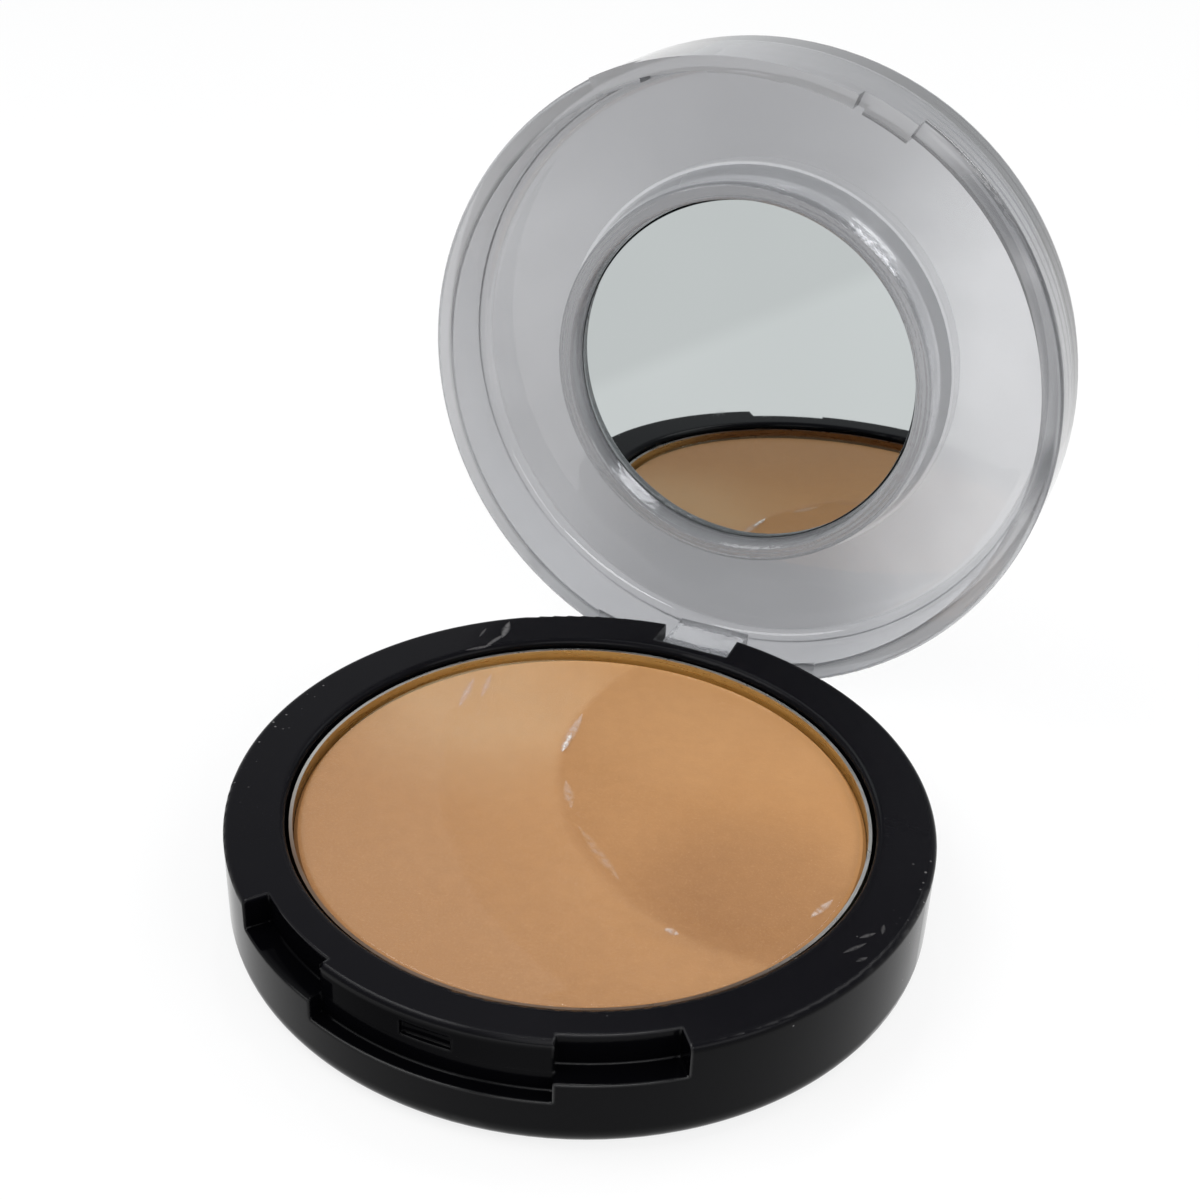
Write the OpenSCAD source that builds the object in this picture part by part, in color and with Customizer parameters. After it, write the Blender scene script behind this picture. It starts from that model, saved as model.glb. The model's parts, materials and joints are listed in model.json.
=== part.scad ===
// Round powder compact, drawn with its lid open, in millimetres with +Z up.
// The origin is the middle of the underside. The hinge is at +Y and the catch at -Y.
// The base stands on a foot ring and holds a pan of pressed powder in a round well.
// A deep clear lid with a mirror on a raised collar turns on a steel pin.

/* [Base] */
// Width of the rim, from the well to the side wall
rim_w = 6.05; // [5.4:0.05:8]
// Height, underside to top face
base_h = 11.5; // [11:0.1:15]
// Rounding of the top outer edge
base_edge = 0.6; // [0.2:0.1:1]
// Rounding of the lower outer edge
base_heel = 2.6; // [1.5:0.1:4]
// Width of the flat foot ring
foot_w = 2.4; // [1.5:0.1:4]
// Thickness of the floor under the pan
floor_t = 1.9; // [1.2:0.1:2.4]
// Thickness of the bottom cover
cover_t = 1.4; // [1:0.1:2]
// Height of the bottom cover above the foot ring
cover_rise = 0.4; // [0.2:0.1:0.8]
// Width of the ledge that stops the bottom cover
ledge_w = 1.2; // [0.8:0.1:2]

/* [Powder pan] */
// Outside radius of the pan
pan_r = 29.5; // [26:0.1:34]
// Height of the pan
pan_h = 4.6; // [3.5:0.1:5]
// Sheet thickness of the pan
pan_wall = 0.35; // [0.25:0.05:0.6]
// Depth of the pan's edge below the top face
pan_drop = 0.8; // [0.4:0.1:1.2]
// Gap round the pan in its well
pan_gap = 0.35; // [0.2:0.05:0.6]
// Rounding of the well's upper edge
well_edge = 0.7; // [0.3:0.1:0.9]
// Thickness of the adhesive under the pan
glue_t = 0.4; // [0.2:0.1:0.8]
// Radius of the adhesive
glue_r = 12; // [6:0.5:20]
// Depth of the powder below the pan's edge
powder_drop = 1.2; // [0.6:0.1:2]
// Bevel round the pressed powder
powder_bevel = 0.4; // [0.2:0.1:0.8]
// Gap between the powder and the pan's wall
powder_gap = 0.05; // [0.02:0.01:0.1]
// Thickness of the clear film on the powder
film_t = 0.15; // [0.1:0.05:0.3]
// Gap between the film and the powder's bevel
film_gap = 0.3; // [0.1:0.1:1]

/* [Hinge] */
// Distance of the hinge axis in from the side wall
hinge_inset = 2.7; // [2.4:0.05:3.2]
// Depth of the hinge axis below the top face
hinge_drop = 3; // [2.4:0.05:3.2]
// Radius of the lid's knuckle
knuckle_r = 1.45; // [1.2:0.05:1.6]
// Width of the lid's hinge lug
lug_w = 8.5; // [6:0.1:11]
// Height of the lug inside the lid
lug_rise = 4; // [3:0.1:5]
// Diameter of the pin
pin_d = 1.2; // [1:0.1:1.6]
// Length of the pin
pin_len = 17; // [14:0.5:20]
// Running clearance round the pin in the lug
pin_gap = 0.05; // [0.02:0.01:0.1]
// Clearance at each side of the lug
lug_gap = 0.25; // [0.15:0.05:0.5]
// Clearance round the knuckle in its pocket
knuckle_gap = 0.3; // [0.2:0.05:0.5]
// Clearance between the turning lid and the back of the base
swing_gap = 0.25; // [0.15:0.05:0.4]
// Angle to which the lid opens
open_angle = 94; // [90:1:105]

/* [Front catch] */
// Half angle of the wide recess
wing_half = 38.6; // [30:0.2:44]
// Depth of the wide recess
wing_depth = 3.4; // [3.2:0.1:4]
// Width of the wide recess, in from the side wall
wing_w = 2.6; // [2:0.1:3.2]
// Half angle of the finger recess
finger_half = 19.6; // [14:0.2:22]
// Depth of the finger recess
finger_depth = 5.6; // [5.3:0.1:6.5]
// Width of the finger recess, in from the side wall
finger_w = 1.5; // [1.4:0.1:1.8]
// Bevel along the top of the catch wall
catch_bevel = 0.45; // [0.2:0.05:0.6]
// Length of the catch slot
slot_w = 5; // [3:0.1:8]
// Height of the catch slot
slot_h = 1.6; // [1.2:0.1:1.8]
// Depth of the catch slot into the wall
slot_depth = 0.6; // [0.3:0.1:0.8]
// Distance of the slot's middle below the top face
slot_drop = 2.2; // [1.8:0.1:2.6]
// Half angle of the lid's skirt, which drops into the wide recess
skirt_half = 29; // [24:0.5:36]
// Depth of the lid's skirt below the lid's rim
skirt_depth = 2.9; // [2.2:0.1:3]
// Depth of the lid's tab, which drops into the finger recess
tab_depth = 5.1; // [4.6:0.1:5.2]
// Clearance between the skirt or tab and the walls of the recess
tab_gap = 0.35; // [0.25:0.05:0.5]
// Half angle of the pad on the tab
pad_half = 6.5; // [4:0.5:10]
// How far the pad stands out
pad_out = 0.12; // [0.05:0.01:0.14]
// Height of the catch bead on the pad
bead_h = 0.8; // [0.5:0.1:1]
// How far the catch bead stands out from the pad
bead_out = 0.1; // [0.04:0.02:0.1]

/* [Lid] */
// Distance by which the lid's side stands out past the base
lid_over = 0.4; // [0:0.1:0.8]
// Height of the lid, rim to crown
lid_h = 13; // [12.8:0.1:15]
// Thickness of the lid's side wall
lid_wall = 2.2; // [1.6:0.1:2.8]
// Thickness of the crown over the mirror
crown_t = 2.2; // [1.4:0.1:2.6]
// Rounding of the shoulder between side and crown
lid_shoulder = 2.6; // [1.5:0.1:2.8]
// Height of the straight side
side_h = 9.2; // [8:0.1:9.4]
// Rounding of the rim's outer edge
rim_edge = 0.6; // [0.2:0.1:1]
// Gap between the closed lid and the base
lid_gap = 0.2; // [0.1:0.05:0.4]
// Depth of the dish inside the lid
dish_depth = 8.2; // [7.8:0.1:9]
// Rounding at the foot of the dish's wall
dish_fillet = 1.6; // [0.6:0.1:2.5]

/* [Mirror] */
// Radius of the mirror
mirror_r = 20; // [16:0.1:23]
// Thickness of the mirror
mirror_t = 1.3; // [1:0.1:1.6]
// Bevel round the mirror's edge
mirror_bevel = 0.3; // [0.1:0.1:0.5]
// Depth of the mirror's face below the collar
mirror_drop = 2.3; // [1.5:0.1:2.6]
// Gap round the mirror in its collar
seat_gap = 0.15; // [0.1:0.05:0.4]
// Height of the collar above the dish
collar_h = 5.3; // [4.6:0.1:6]
// Width of the collar's top
collar_w = 1.8; // [1.4:0.1:2.4]
// Extra width of the collar at its foot
collar_flare = 1; // [0.4:0.1:2]
// Rounding of the collar's top edges
collar_round = 0.45; // [0.2:0.05:0.6]
// Thickness of the adhesive ring behind the mirror
tape_t = 0.2; // [0.1:0.05:0.4]
// Width of the adhesive ring
tape_w = 2; // [1.2:0.1:3]
// Distance of the adhesive ring in from the mirror's edge
tape_inset = 0.4; // [0.2:0.1:0.8]

/* [Hidden] */
$fn = 128;
// Small overlap that keeps cuts and joins clean
eps = 0.01;
// Facets of the crown's large circle
crown_fn = 1440;

well_r = pan_r + pan_gap;
base_r = well_r + rim_w;
well_depth = pan_drop + pan_h + glue_t;
well_floor = base_h - well_depth;
hollow_r = base_r - base_heel - foot_w;
cover_top = cover_rise + cover_t;

pan_floor = well_floor + glue_t;
powder_r = pan_r - pan_wall - powder_gap;
powder_top = pan_floor + pan_h - powder_drop;

hinge_y = base_r - hinge_inset;
hinge_z = base_h - hinge_drop;
pocket_w = lug_w + 2 * lug_gap;
pocket_front = hinge_y - knuckle_r - knuckle_gap;
// Depth by which the open lug slopes down as it leaves the pocket
lug_droop = hinge_inset * sin(max(open_angle - 90, 0));
pocket_floor = hinge_z - knuckle_r - knuckle_gap - lug_droop;
// Half length and radius of the room that the base's rounded back edge needs in the lid
relief_x = sqrt(base_r * base_r - hinge_y * hinge_y);
relief_r = norm([hinge_inset - base_edge, hinge_drop - base_edge]) + base_edge + swing_gap;

wing_r = base_r - wing_w;
finger_r = base_r - finger_w;
tab_r = finger_r + tab_gap;
// Angle that the clearance takes up at the catch wall
gap_angle = asin(tab_gap / finger_r);

rim_z = base_h + lid_gap;
lid_r = base_r + lid_over;
dish_r = lid_r - lid_wall;
collar_top = dish_depth - collar_h;
seat_r = mirror_r + seat_gap;
collar_r = seat_r + collar_w;
mirror_face = collar_top + mirror_drop;
seat_z = mirror_face + mirror_t + tape_t;
tape_r = mirror_r - tape_inset;
pocket_r = tape_r - tape_w;

// Radius and middle height of the crown, which runs smoothly into the shoulder
shoulder_r = lid_r - lid_shoulder;
shoulder_drop = lid_h - side_h;
crown_r = (pow(shoulder_r, 2) + pow(shoulder_drop, 2) - pow(lid_shoulder, 2))
    / (2 * (shoulder_drop - lid_shoulder));
crown_z = lid_h - crown_r;
crown_meet = shoulder_r * crown_r / (crown_r - lid_shoulder);

// Part of a flat ring, centred on the front
module front_slice(half, r_in, r_out) {
    reach = 2 * r_out;
    intersection() {
        difference() {
            circle(r_out);
            circle(r_in);
        }
        polygon([[0, 0], reach * [-sin(half), -cos(half)], reach * [sin(half), -cos(half)]]);
    }
}

// A block with that shape
module front_sector(half, r_in, r_out, h) {
    linear_extrude(h)
        front_slice(half, r_in, r_out);
}

// Moves a closed lid's piece, drawn up from its rim, to where it is when open
module open_lid() {
    translate([0, hinge_y, hinge_z])
        rotate([-open_angle, 0, 0])
            translate([0, -hinge_y, rim_z - hinge_z])
                children();
}

// A cylinder along the hinge axis of a lid drawn up from its rim
module lid_axis(d, length) {
    translate([-length / 2, hinge_y, hinge_z - rim_z])
        rotate([0, 90, 0])
            cylinder(d = d, h = length);
}

module base_outline() {
    square([base_r - base_heel, base_h]);
    translate([0, base_heel])
        square([base_r - base_edge, base_h - base_heel]);
    translate([0, base_heel])
        square([base_r, base_h - base_heel - base_edge]);
    translate([base_r - base_heel, base_heel])
        circle(base_heel);
    translate([base_r - base_edge, base_h - base_edge])
        circle(base_edge);
}

module well_outline() {
    translate([0, well_floor])
        square([well_r, well_depth + 1]);
    difference() {
        translate([0, base_h - well_edge])
            square([well_r + well_edge, well_edge + 1]);
        translate([well_r + well_edge, base_h - well_edge])
            circle(well_edge);
    }
}

module hollow_outline() {
    translate([0, -1])
        square([hollow_r, cover_top + 1]);
    square([hollow_r - ledge_w, well_floor - floor_t]);
}

// The bevel along the top of the catch wall
module catch_bevel_cut() {
    rotate_extrude()
        polygon([[finger_r - catch_bevel, base_h + eps], [finger_r + eps, base_h + eps],
            [finger_r + eps, base_h - catch_bevel]]);
}

module front_recess() {
    translate([0, 0, base_h - wing_depth])
        linear_extrude(wing_depth + 1)
            difference() {
                front_slice(wing_half, wing_r, base_r + 1);
                front_slice(finger_half, wing_r - 1, finger_r - eps);
            }
    translate([0, 0, base_h - finger_depth])
        front_sector(finger_half, finger_r, base_r + 1, finger_depth - wing_depth + 1);
    intersection() {
        catch_bevel_cut();
        translate([0, 0, base_h - wing_depth])
            front_sector(finger_half, wing_r, base_r, wing_depth + 1);
    }
    translate([-slot_w / 2, -finger_r - 1, base_h - slot_drop - slot_h / 2])
        cube([slot_w, 1 + slot_depth, slot_h]);
}

module hinge_pocket() {
    translate([-pocket_w / 2, pocket_front, pocket_floor])
        cube([pocket_w, hinge_inset + knuckle_r + knuckle_gap + 1, base_h - pocket_floor + 1]);
}

// The bore that takes the pin, open at the +X side
module pin_bore() {
    translate([-pin_len / 2, hinge_y, hinge_z])
        rotate([0, 90, 0])
            cylinder(d = pin_d, h = pin_len / 2 + base_r);
}

module base_body() {
    color("#19191b")
        difference() {
            rotate_extrude()
                difference() {
                    base_outline();
                    well_outline();
                    hollow_outline();
                }
            front_recess();
            hinge_pocket();
            pin_bore();
        }
}

module bottom_cover() {
    color("#222225")
        translate([0, 0, cover_rise])
            cylinder(r = hollow_r, h = cover_t);
}

module pan_adhesive() {
    color("#d9d2bd")
        translate([0, 0, well_floor])
            cylinder(r = glue_r, h = glue_t);
}

module powder_pan() {
    color("#c9cacc")
        translate([0, 0, pan_floor])
            difference() {
                cylinder(r = pan_r, h = pan_h);
                translate([0, 0, pan_wall])
                    cylinder(r = pan_r - pan_wall, h = pan_h);
            }
}

module powder_cake() {
    color("#c49769")
        rotate_extrude()
            polygon([[0, pan_floor + pan_wall], [powder_r, pan_floor + pan_wall],
                [powder_r, powder_top - powder_bevel], [powder_r - powder_bevel, powder_top],
                [0, powder_top]]);
}

module clear_film() {
    color("#e8e0d4", 0.3)
        translate([0, 0, powder_top])
            cylinder(r = powder_r - powder_bevel - film_gap, h = film_t);
}

module hinge_pin() {
    color("#b4b6b8")
        translate([-pin_len / 2, hinge_y, hinge_z])
            rotate([0, 90, 0])
                cylinder(d = pin_d, h = pin_len);
}

module lid_outline() {
    translate([0, rim_edge])
        square([lid_r, side_h - rim_edge]);
    square([lid_r - rim_edge, side_h]);
    translate([lid_r - rim_edge, rim_edge])
        circle(rim_edge);
    translate([shoulder_r, side_h])
        circle(lid_shoulder);
    intersection() {
        translate([0, crown_z])
            circle(crown_r, $fn = crown_fn);
        square([crown_meet, lid_h + 1]);
    }
}

module dish_outline() {
    translate([0, -1])
        square([dish_r, dish_depth - dish_fillet + 1]);
    square([dish_r - dish_fillet, dish_depth]);
    translate([dish_r - dish_fillet, dish_depth - dish_fillet])
        circle(dish_fillet);
}

// The collar round the mirror and the ledge behind it
module collar_outline() {
    polygon([[seat_r, collar_top + collar_round], [collar_r, collar_top + collar_round],
        [collar_r + collar_flare, dish_depth + eps], [pocket_r, dish_depth + eps],
        [pocket_r, seat_z], [seat_r, seat_z]]);
    translate([seat_r + collar_round, collar_top])
        square([collar_w - 2 * collar_round, collar_round + eps]);
    for (r = [seat_r + collar_round, collar_r - collar_round])
        translate([r, collar_top + collar_round])
            circle(collar_round);
}

module lid_turning() {
    rotate_extrude()
        difference() {
            union() {
                difference() {
                    lid_outline();
                    dish_outline();
                }
                collar_outline();
            }
            translate([0, dish_depth - 1])
                square([pocket_r, lid_h - crown_t - dish_depth + 1]);
        }
}

// The stepped skirt at the front of the lid
module lid_skirt() {
    translate([0, 0, -skirt_depth])
        front_sector(skirt_half, tab_r, lid_r, skirt_depth + rim_edge + eps);
    difference() {
        translate([0, 0, -skirt_depth])
            front_sector(skirt_half, dish_r, tab_r + eps, skirt_depth + rim_edge);
        translate([0, 0, -skirt_depth - 1])
            front_sector(finger_half + gap_angle, dish_r - 1, lid_r, skirt_depth + 1);
    }
    translate([0, 0, -tab_depth])
        front_sector(finger_half - gap_angle, tab_r, lid_r, tab_depth + rim_edge + eps);
}

// The pad on the tab and the catch bead that sits in the slot
module lid_catch() {
    translate([0, 0, -tab_depth])
        front_sector(pad_half, tab_r - pad_out, tab_r + eps, tab_depth);
    intersection() {
        translate([-slot_w / 2 + tab_gap, -base_r, base_h - slot_drop - rim_z - bead_h / 2])
            cube([slot_w - 2 * tab_gap, base_r, bead_h]);
        translate([0, 0, -tab_depth])
            front_sector(pad_half, tab_r - pad_out - bead_out, tab_r, tab_depth);
    }
}

// The room that the base's back edge needs as the lid turns
module hinge_relief() {
    lid_axis(2 * relief_r, 2 * relief_x);
}

// The room that the base's side wall needs behind it when the lid is open
module stop_relief() {
    translate([0, hinge_y, hinge_z - rim_z])
        rotate([open_angle, 0, 0])
            translate([0, -hinge_y, -hinge_z])
                cylinder(r = base_r + swing_gap, h = base_h);
}

module lid_lug() {
    lid_axis(2 * knuckle_r, lug_w);
    translate([-lug_w / 2, hinge_y - knuckle_r, hinge_z - rim_z])
        cube([lug_w, 2 * knuckle_r, lug_rise + rim_z - hinge_z]);
}

module lid_shell() {
    color("#c8cacf", 0.35)
        open_lid()
            difference() {
                union() {
                    difference() {
                        union() {
                            lid_turning();
                            lid_skirt();
                            lid_catch();
                        }
                        hinge_relief();
                        stop_relief();
                    }
                    lid_lug();
                }
                lid_axis(pin_d + 2 * pin_gap, lug_w + 1);
            }
}

module mirror_tape() {
    color("#e9e9ea")
        open_lid()
            translate([0, 0, seat_z - tape_t])
                difference() {
                    cylinder(r = tape_r, h = tape_t);
                    translate([0, 0, -1])
                        cylinder(r = pocket_r, h = tape_t + 2);
                }
}

module mirror() {
    color("#bcc6c8")
        open_lid()
            rotate_extrude()
                polygon([[0, mirror_face], [mirror_r - mirror_bevel, mirror_face],
                    [mirror_r, mirror_face + mirror_bevel], [mirror_r, mirror_face + mirror_t],
                    [0, mirror_face + mirror_t]]);
}

base_body();
bottom_cover();
pan_adhesive();
powder_pan();
powder_cake();
clear_film();
hinge_pin();
lid_shell();
mirror_tape();
mirror();
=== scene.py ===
"""Looks of an open powder compact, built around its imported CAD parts.

A gloss black base holds pressed powder under a loose clear film. A deep clear lid carries a
mirror on a collar. Lengths are in metres, and MM turns millimetres into them. A pair of values is
the range of a fade or of a variation: its start and end, or its darker and lighter tone.
"""

import json
import math

import bmesh
import bpy
from mathutils import Matrix, Vector, noise


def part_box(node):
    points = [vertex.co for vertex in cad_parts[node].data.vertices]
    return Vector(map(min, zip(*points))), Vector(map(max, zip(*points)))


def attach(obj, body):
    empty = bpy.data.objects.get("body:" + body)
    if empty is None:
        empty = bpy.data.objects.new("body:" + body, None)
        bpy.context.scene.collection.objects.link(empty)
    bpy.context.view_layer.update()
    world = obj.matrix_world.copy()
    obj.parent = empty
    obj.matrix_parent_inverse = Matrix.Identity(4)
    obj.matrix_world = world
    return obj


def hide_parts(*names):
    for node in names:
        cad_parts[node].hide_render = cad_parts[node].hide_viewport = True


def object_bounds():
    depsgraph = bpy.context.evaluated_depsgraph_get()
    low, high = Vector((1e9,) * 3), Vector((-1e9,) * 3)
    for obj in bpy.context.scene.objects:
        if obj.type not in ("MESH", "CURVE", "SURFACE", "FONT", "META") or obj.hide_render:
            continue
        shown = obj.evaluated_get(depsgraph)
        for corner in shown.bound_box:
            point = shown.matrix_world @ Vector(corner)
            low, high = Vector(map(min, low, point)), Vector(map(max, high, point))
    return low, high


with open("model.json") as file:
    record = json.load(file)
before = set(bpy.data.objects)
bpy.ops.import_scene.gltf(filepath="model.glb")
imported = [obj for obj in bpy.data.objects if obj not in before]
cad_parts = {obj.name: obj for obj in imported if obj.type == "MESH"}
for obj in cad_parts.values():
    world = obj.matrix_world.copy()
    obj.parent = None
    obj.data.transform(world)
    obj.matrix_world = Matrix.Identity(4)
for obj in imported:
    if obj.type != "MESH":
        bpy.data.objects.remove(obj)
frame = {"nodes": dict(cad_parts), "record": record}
cad_low, cad_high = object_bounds()

MM = 0.001

# Camera, fitted to the photograph's outlines of base, powder, lid and mirror
CAMERA_AT = Vector((54.62, -133.43, 121.65)) * MM
CAMERA_AIM = Vector((-9.15, 25.74, 18.69)) * MM
CAMERA_ROLL = math.radians(2.19)
CAMERA_LENS = 53.12
CAMERA_SENSOR = 36.0
CAMERA_NEAR = 1 * MM

# Floor, with the share of plain white that it shows where it is looked at
FLOOR_SIZE = 8.0
FLOOR_TONES = ((0.86,) * 3, (0.88,) * 3)
FLOOR_CLOUD = 0.5
FLOOR_GLOW = 0.8

# Room: its level, brighter within a cone, given by cosines, and towards the horizon
ROOM_TINT = (0.97, 0.985, 1.0)
ROOM_LEVELS = (0.44, 0.66)
BRIGHT_TOWARDS = Vector((-0.45, 0.70, 0.55))
BRIGHT_CONE = (0.35, 0.9)
HORIZON_LIGHT = 0.9
HORIZON_FADE = (0.45, 0.0)

# Each lamp's name, place, width and height, and power, and the point that all of them face
LAMPS = (
    ("softbox_left", Vector((-0.42, -0.22, 0.72)), (0.55, 0.55), 2.9),
    ("softbox_right", Vector((0.62, -0.18, 0.50)), (0.45, 0.45), 1.4),
    ("softbox_back", Vector((0.42, 0.48, 0.62)), (0.40, 0.40), 1.6),
    ("softbox_front", Vector((0.22, -0.50, 0.65)), (0.60, 0.22), 1.9),
    ("lamp_behind", Vector((-0.17, 0.41, 0.84)), (0.07, 0.07), 0.5),
)
LIGHT_TARGET = Vector((0.0, 0.02, 0.02))

# Base: polished sides, and a satin top that begins at these depths below the top face
BASE_POLISHED = ((0.0008, 0.0008, 0.0012), (0.0016, 0.0016, 0.0022))
BASE_SATIN = ((0.0034, 0.0033, 0.0045), (0.0050, 0.0048, 0.0063))
BASE_ROUGHNESS = (0.06, 0.12)
BASE_IOR = 1.46
BASE_SPECULAR = 0.075
SATIN_DEPTH = (0.5 * MM, 0.1 * MM)
SATIN_ROUGHER = 0.10

# Bright coat on the base's softened edges, where the normal turns by these cosines, from left to right
EDGE_SOFTNESS = 0.45 * MM
EDGE_COSINES = (0.995, 0.95)
COAT_ROUGHNESS = 0.12
COAT_ACROSS = (-15 * MM, 10 * MM)
COAT_WEIGHTS = (0.2, 0.65)

# Painted shade in the recess at the base's front, a dark matt shader mixed in: below the top, inwards of
# the side, and from left to right
RECESS_PAINTED_SHADE = (0.0012, 0.0012, 0.0016)
RECESS_DEPTH = (0.5 * MM, 1.0 * MM)
RECESS_INSET = (0.3 * MM, 0.8 * MM)
RECESS_FRONT = (0.0, -5 * MM)
RECESS_ACROSS = (-5 * MM, 12 * MM)
RECESS_SHARES = (0.75, 0.35)

# Dust in a band along the base's rim, with the middle and the reach of each dusty stretch
DUST_GREY = (0.32, 0.31, 0.31)
DUST_COVER = 0.6
DUST_ROUGHER = 0.4
DUST_BAND = 3.2 * MM
DUST_PATCHES = ((Vector((-33.0, -4.0)) * MM, 13 * MM), (Vector((34.6, 1.0)) * MM, 7 * MM))

# Specks of thick dust, stray dust and dark powder: spacing, radius and share of places, then strength
DUST_SPECKS = (0.8 * MM, 0.17 * MM, 0.45)
DUST_STRENGTH = 0.7
STRAY_SPECKS = (2.1 * MM, 0.14 * MM, 0.22)
STRAY_STRENGTH = 0.6
DARK_GRAINS = (1.5 * MM, 0.11 * MM, 0.35)
DARK_GRAIN_STRENGTH = 0.4

# Each scratch's start, end and half width in millimetres, and its strength
BASE_SCRATCHES = (
    ((-21.3, 27.6), (-20.5, 24.0), 0.45, 0.65),
    ((-20.6, 25.0), (-21.5, 21.2), 0.30, 0.5),
    ((-20.9, 22.1), (-23.2, 19.7), 0.22, 0.4),
    ((-23.1, 25.1), (-23.0, 23.0), 0.20, 0.3),
    ((31.6, -8.4), (32.8, -7.1), 0.24, 0.32),
    ((30.8, -11.0), (32.4, -8.8), 0.24, 0.26),
    ((33.4, -7.0), (33.2, -5.6), 0.22, 0.24),
    ((32.2, -11.6), (33.0, -10.6), 0.24, 0.26),
)

# Powder, with painted shade towards the front left and darker in a patch at the right, with light and
# dark grains
POWDER_TAN = ((0.512, 0.260, 0.102), (0.556, 0.292, 0.121))
POWDER_ROUGHNESS = (0.86, 0.98)
POWDER_SPECULAR = 0.1
POWDER_SHADE_AND_PATCH = (0.348, 0.174, 0.074)
POWDER_SHADE_TOWARDS = Vector((-0.45, -0.89, 0.0))
POWDER_PATCH_AT = Vector((20.5, -3.5)) * MM
POWDER_PATCH_REACH = (16 * MM, 5 * MM)
POWDER_PATCH_SHARES = (0.0, 0.45)
POWDER_MOTTLE = (-0.06, 0.06)
POWDER_LIGHT_GRAIN = (0.60, 0.345, 0.16)
POWDER_DARK_GRAIN = (0.26, 0.13, 0.06)

# Pan: bare down to these depths below its edge, golden below, and darker towards the front
PAN_BARE = ((0.56, 0.55, 0.52), (0.68, 0.67, 0.64))
PAN_GOLDEN = ((0.52, 0.46, 0.25), (0.60, 0.53, 0.30))
PAN_DARK_FRONT = (0.16, 0.09, 0.05)
PAN_ROUGHNESS = (0.26, 0.34)
PAN_EDGE_DEPTH = (0.12 * MM, 0.04 * MM)

# Tones and roughness of the pieces that hardly show
COVER_BLACK = ((0.016, 0.016, 0.018), (0.026, 0.026, 0.028))
COVER_ROUGHNESS = (0.48, 0.66)
PIN_STEEL = ((0.42, 0.42, 0.43), (0.66, 0.66, 0.67))
PIN_ROUGHNESS = (0.2, 0.36)
TAPE_WHITE = ((0.66, 0.66, 0.64), (0.80, 0.80, 0.78))
TAPE_ROUGHNESS = 0.8
GLUE_YELLOW = ((0.55, 0.48, 0.33), (0.72, 0.66, 0.50))
GLUE_ROUGHNESS = (0.3, 0.45)

# Share of light that the lid lets through, on its faces, on its hazier walls and at its lug
LID_CLEARNESS = 0.84
WALL_CLEARNESS = 0.64
LUG_CLEARNESS = 0.94

# Lid: tints of its faces from painted shade to painted light, its painted dark lines, its depth and its
# shadow
LID_PAINTED_TINTS = ((0.45, 0.453, 0.466), (0.88, 0.885, 0.90))
LID_PAINTED_LINE = (0.12, 0.125, 0.14)
LID_DEPTH = (0.60, 0.605, 0.615)
LID_DENSITY = 150.0
LID_SHADOW = (0.80, 0.81, 0.82)
LID_ROUGHNESS = (0.02, 0.07)
LID_IOR = 1.49

# Painted shade of the lid's dish, from 0 to 1: from left to right, and away from its top and its foot
DISH_ACROSS_SHADES = (0.36, 1.0)
DISH_TOP_REACH = (10 * MM, 40 * MM)
DISH_TOP_SHADES = (0.25, 1.0)
DISH_FOOT_REACH = (10 * MM, 30 * MM)
DISH_FOOT_SHADES = (0.15, 1.0)
DISH_CLOUD = (0.75, 1.15)

# Lid's outer wall, from these shares of the lid's radius: painted paler away from its top and low down
WALL_FROM = (0.93, 0.96)
WALL_SHADE = 0.92
WALL_TOP_REACH = (14 * MM, 40 * MM)
WALL_TOP_SHADES = (0.2, 1.0)
WALL_LOW = (50 * MM, 26 * MM)

# Painted dark lines round the upper right of the lid's wall
LINE_SPACING = 1.9 * MM
LINE_STRENGTH = 0.7
LINE_HEIGHT = (28 * MM, 42 * MM)

# End face of the lid's skirt, painted paler: how far it faces forward, and where it is, as shares of the
# lid's height
SKIRT_FACING = (-0.5, -0.9)
SKIRT_HEIGHT = (0.72, 0.82)
SKIRT_SHADE = 0.5

# Lug, painted pale: its reach round the pin, and its end above the lid's rim
LUG_REACH = (8.5 * MM, 6.5 * MM)
LUG_ABOVE_RIM = (0.9 * MM, 0.1 * MM)

# Rings of the collar round the mirror, one with painted shade and one painted paler, and the softness of
# their edges, as shares of the mirror's radius
COLLAR_FACE = (1.005, 1.10)
COLLAR_PAINTED_DARK = (1.01, 1.09)
COLLAR_PAINTED_DARK_SHADE = 0.15
COLLAR_WALL = (1.105, 1.16)
COLLAR_WALL_SHADE = 0.9
COLLAR_SOFT = 0.01

# Spacing and strength of the mould's turning marks on the collar, and strength of the ripples
TURNING_SPACING = 0.55 * MM
TURNING_STRENGTH = 0.10
SEAT_RIPPLE = 0.6
LUG_RIPPLE = 1.8
RIPPLE_DEPTH = 0.16 * MM

# Mirror, which lies about a degree off the plane of its seat, as its image in the photograph shows
MIRROR_LEAN = Vector((-0.0170, 0.0, -0.0152))
MIRROR_SILVER = ((0.535, 0.567, 0.566), (0.565, 0.597, 0.596))
MIRROR_ROUGHNESS = (0.012, 0.04)

# Painted shade at the mirror's edge, and the mirror's side, from these shares of its radius
MIRROR_EDGE_SHADE = (0.02, 0.024, 0.024)
MIRROR_EDGE_FROM = (0.982, 0.990)
MIRROR_SIDE = (0.66, 0.69, 0.68)
MIRROR_SIDE_FROM = (0.995, 0.999)
MIRROR_SIDE_ROUGHER = 0.6

# Painted reflection: a darker stretch on the mirror's upper part, beyond a soft straight edge
PAINTED_REFLECTION_TONE = (0.45, 0.476, 0.476)
PAINTED_REFLECTION_AT = Vector((-2.1, 44.2, 45.6)) * MM
PAINTED_REFLECTION_TOWARDS = Vector((-0.52, 0.0, 0.85))
PAINTED_REFLECTION_SOFT = 1.5 * MM
PAINTED_REFLECTION_SHARES = (0.0, 0.5)

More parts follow.
